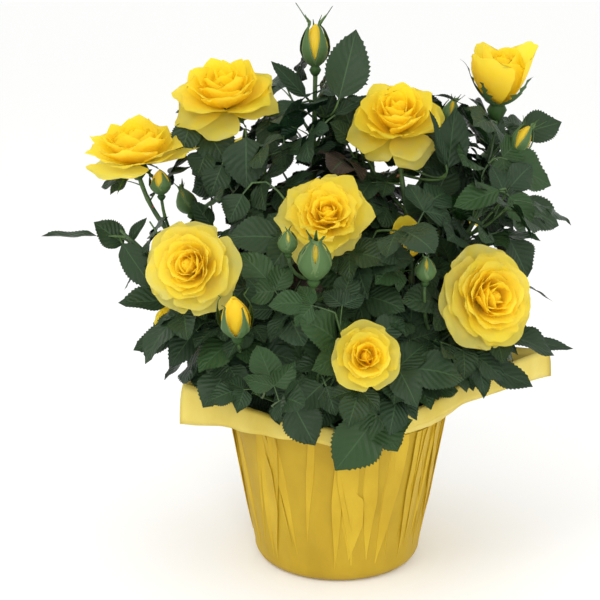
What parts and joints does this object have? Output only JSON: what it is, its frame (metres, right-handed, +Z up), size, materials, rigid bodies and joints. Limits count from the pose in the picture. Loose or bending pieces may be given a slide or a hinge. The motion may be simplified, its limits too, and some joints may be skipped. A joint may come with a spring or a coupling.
{
  "type": "potted rose bush",
  "caption": "Patio rose bush in a round pot: canes, boughs and leafy shoots end in full double blooms and buds, over a pleated paper pot cover with a flared collar.",
  "frame": {"origin": "middle of the flat underside of the pot cover, where the plant stands", "axes": "+Z up; -Y towards the side the blooms face; +X to the right seen from there"},
  "size_m": [0.367, 0.2972, 0.3819],
  "materials": {
    "leaves": "satin",
    "petals": "matte",
    "green_wood": "satin",
    "cover_paper": "matte",
    "collar_paper": "matte",
    "pot_plastic": "matte",
    "soil": "matte"
  },
  "bodies": {
    "root": {"bough_back_centre": "green_wood", "bough_back_left": "green_wood", "bough_back_right": "green_wood", "bough_back_top": "green_wood", "bough_centre": "green_wood", "bough_far_left": "green_wood", "bough_inner_right": "green_wood", "bough_left_front": "green_wood", "bough_right_front": "green_wood", "bough_right_mid": "green_wood", "bough_top": "green_wood", "bough_top_right": "green_wood", "bough_upper_left": "green_wood", "bough_upper_right": "green_wood", "cane_back_left": "green_wood", "cane_back_right": "green_wood", "cane_front": "green_wood", "cane_left": "green_wood", "cane_right": "green_wood", "cover_collar": "collar_paper", "foliage_back_centre": "leaves", "foliage_back_left": "leaves", "foliage_back_low_left": "leaves", "foliage_back_low_right": "leaves", "foliage_back_right": "leaves", "foliage_back_skirt": "leaves", "foliage_back_top": "leaves", "foliage_centre": "leaves", "foliage_crown": "leaves", "foliage_crown_left": "leaves", "foliage_far_left": "leaves", "foliage_fill_front_left": "leaves", "foliage_fill_front_right": "leaves", "foliage_fill_left": "leaves", "foliage_fill_right": "leaves", "foliage_inner_right": "leaves", "foliage_left_arm": "leaves", "foliage_left_front": "leaves", "foliage_left_low": "leaves", "foliage_low_front": "leaves", "foliage_right_front": "leaves", "foliage_right_low": "leaves", "foliage_right_mid": "leaves", "foliage_skirt_front": "leaves", "foliage_skirt_left": "leaves", "foliage_skirt_right": "leaves", "foliage_top": "leaves", "foliage_top_right": "leaves", "foliage_upper_left": "leaves", "foliage_upper_right": "leaves", "nursery_pot": "pot_plastic", "pot_cover": "cover_paper", "soil": "soil"}
  },
  "joints": []
}
